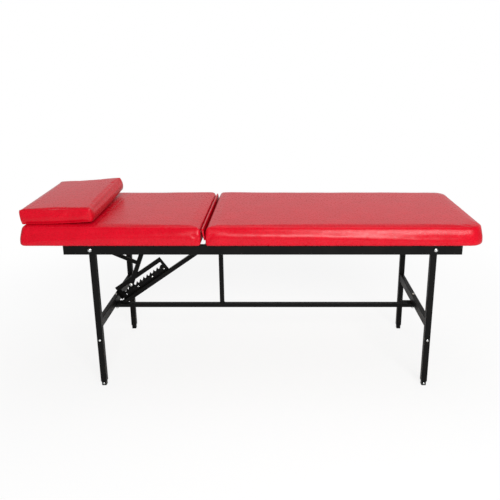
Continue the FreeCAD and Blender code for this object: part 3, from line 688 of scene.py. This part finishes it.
tree.links.new(bare.outputs["Result"], shader.inputs["Metallic"])
relief = add_node(tree, "ShaderNodeBump", {
    "Height": lines.outputs["Fac"], "Strength": 0.3, "Distance": 0.0001})
tree.links.new(relief.outputs["Normal"], shader.inputs["Normal"])


# Weld beads. Short runs of overlapping puddles where the steel tubes meet, laid by
# hand and coated with the frame.
puddle_spacing = 0.0028
puddle_radius, puddle_variation = 0.0024, 0.18
bead_margin = 0.002
bar_bead_margin = 0.003
top_bead_margin = 0.004


def weld_run(bm, start, end, seed):
    """A row of overlapping puddles from start to end; the seed sets how they differ."""
    start, end = Vector(start), Vector(end)
    count = max(2, int((end - start).length / puddle_spacing))
    for index in range(count + 1):
        place = start.lerp(end, index / count)
        size = puddle_radius * (1 + puddle_variation * noise.noise(Vector((index * 1.7, seed, 0.5))))
        puddle = bmesh.ops.create_icosphere(bm, subdivisions=2, radius=size)["verts"]
        bmesh.ops.translate(bm, vec=place, verts=puddle)


bm = bmesh.new()
for number, node in enumerate(("head_cross_tube", "hinge_cross_tube", "foot_cross_tube")):
    low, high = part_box(node)
    bead_low, bead_high = low.z + bead_margin, high.z - top_bead_margin
    for y in (low.y, high.y):
        weld_run(bm, (low.x + bead_margin, y, low.z), (high.x - bead_margin, y, low.z), number)
        weld_run(bm, (low.x, y, bead_low), (low.x, y, bead_high), number + 10)
        weld_run(bm, (high.x, y, bead_low), (high.x, y, bead_high), number + 20)
for number, node in enumerate(("left_crossbar", "right_crossbar")):
    low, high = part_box(node)
    for y in (low.y, high.y):
        for z in (low.z, high.z):
            weld_run(bm, (low.x + bar_bead_margin, y, z), (high.x - bar_bead_margin, y, z), number + 30)
low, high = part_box("middle_post")
for x in (low.x, high.x):
    for z in (low.z, high.z):
        weld_run(bm, (x, low.y + bead_margin, z), (x, high.y - bead_margin, z), 40 + z)
low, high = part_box("diagonal_brace")
weld_run(bm, (high.x, low.y + bead_margin, high.z), (high.x, high.y - bead_margin, high.z), 50)
finished_mesh("weld_beads", bm, "frame", coat)


# Boards. Rotary-cut birch plywood, sawn to size and set in by the width that the cover
# turns under: long flat grain on the faces, thin dark and light layers on the edges.
ply_thickness = 0.003
band_length = 0.314  # of the wave pattern at a scale of 1
plywood, tree, shader, coordinates = start_material("rotary_cut_birch_plywood", Roughness=0.62)
stretched = add_node(tree, "ShaderNodeMapping", {"Vector": coordinates, "Scale": (1.0, 9.0, 9.0)})
figure = add_node(tree, "ShaderNodeTexNoise", {
    "Vector": stretched.outputs["Vector"], "Scale": 6.0, "Detail": 5.0, "Distortion": 0.6})
face_tone = two_tone(tree, figure.outputs["Fac"], 0.3, "#B08A5C", 0.7, "#D9BE93")
layers = add_node(tree, "ShaderNodeTexWave", {
    "Vector": coordinates, "Scale": band_length / ply_thickness / 2, "Distortion": 0.4},
    wave_type="BANDS", bands_direction="Z")
layer_tone = two_tone(tree, layers.outputs["Fac"], 0.4, "#8A6238", 0.6, "#D2B27F")
surface = add_node(tree, "ShaderNodeNewGeometry")
facing = add_node(tree, "ShaderNodeSeparateXYZ", {"Vector": surface.outputs["Normal"]})
flatness = add_node(tree, "ShaderNodeMath", {0: facing.outputs["Z"]}, operation="ABSOLUTE")
wood = add_node(tree, "ShaderNodeMix", {
    "Factor": flatness.outputs["Value"], "A": layer_tone, "B": face_tone}, data_type="RGBA")
tree.links.new(wood.outputs["Result"], shader.inputs["Base Color"])

sawn_edge = 0.0004
for name, body, cushion, start_radius, end_radius in (
        ("head_board", "head_section", "head_cushion", 0.025, 0.017),
        ("main_board", "frame", "main_cushion", 0.017, 0.060)):
    low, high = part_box(cushion)
    if cushion == "head_cushion":
        low.x -= end_bulge[cushion]
    else:
        high.x += end_bulge[cushion]
    bm = bevelled_block(Vector((low.x + roll_under, low.y + roll_under, board_low)),
                        Vector((high.x - roll_under, high.y - roll_under, board_high)),
                        ((low.x + roll_under, start_radius - roll_under),
                         (high.x - roll_under, end_radius - roll_under)), sawn_edge, sawn_edge)
    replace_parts(finished_mesh(name + "_sawn", bm, body, plywood, smooth=False), name)


# Plugs and grip. Moulded polyethylene with a fine spark-eroded texture, which leaves
# it dull beside the coated tubes.
spark_grain = 0.0012
plastic, tree, shader, coordinates = start_material(
    "black_moulded_polyethylene", Roughness=0.45, Specular_IOR_Level=0.25)
cloud = add_node(tree, "ShaderNodeTexNoise", {
    "Vector": coordinates, "Scale": 1 / spark_grain, "Detail": 2.0})
tree.links.new(two_tone(tree, cloud.outputs["Fac"], 0.35, "#101010", 0.7, "#1A1A1A"),
               shader.inputs["Base Color"])
relief = add_node(tree, "ShaderNodeBump", {
    "Height": cloud.outputs["Fac"], "Strength": 0.5, "Distance": 0.0001})
tree.links.new(relief.outputs["Normal"], shader.inputs["Normal"])


# Finishes of the CAD pieces. Each takes the finish of its material slot, and the tubes
# and the rack that something slides on take the rubbed coating.
finishes = {"powder_coated_steel": coat, "zinc_plated_steel": zinc, "plywood": plywood,
            "black_plastic": plastic, "red_leatherette": leatherette}
for subpart in frame["record"]["subparts"]:
    name = subpart["node"]
    slides = name.endswith("leg_extension") or name == "toothed_rack"
    node = frame["nodes"][name]
    node.data.materials.clear()
    node.data.materials.append(rubbed if slides else finishes[subpart["material_slot"]])
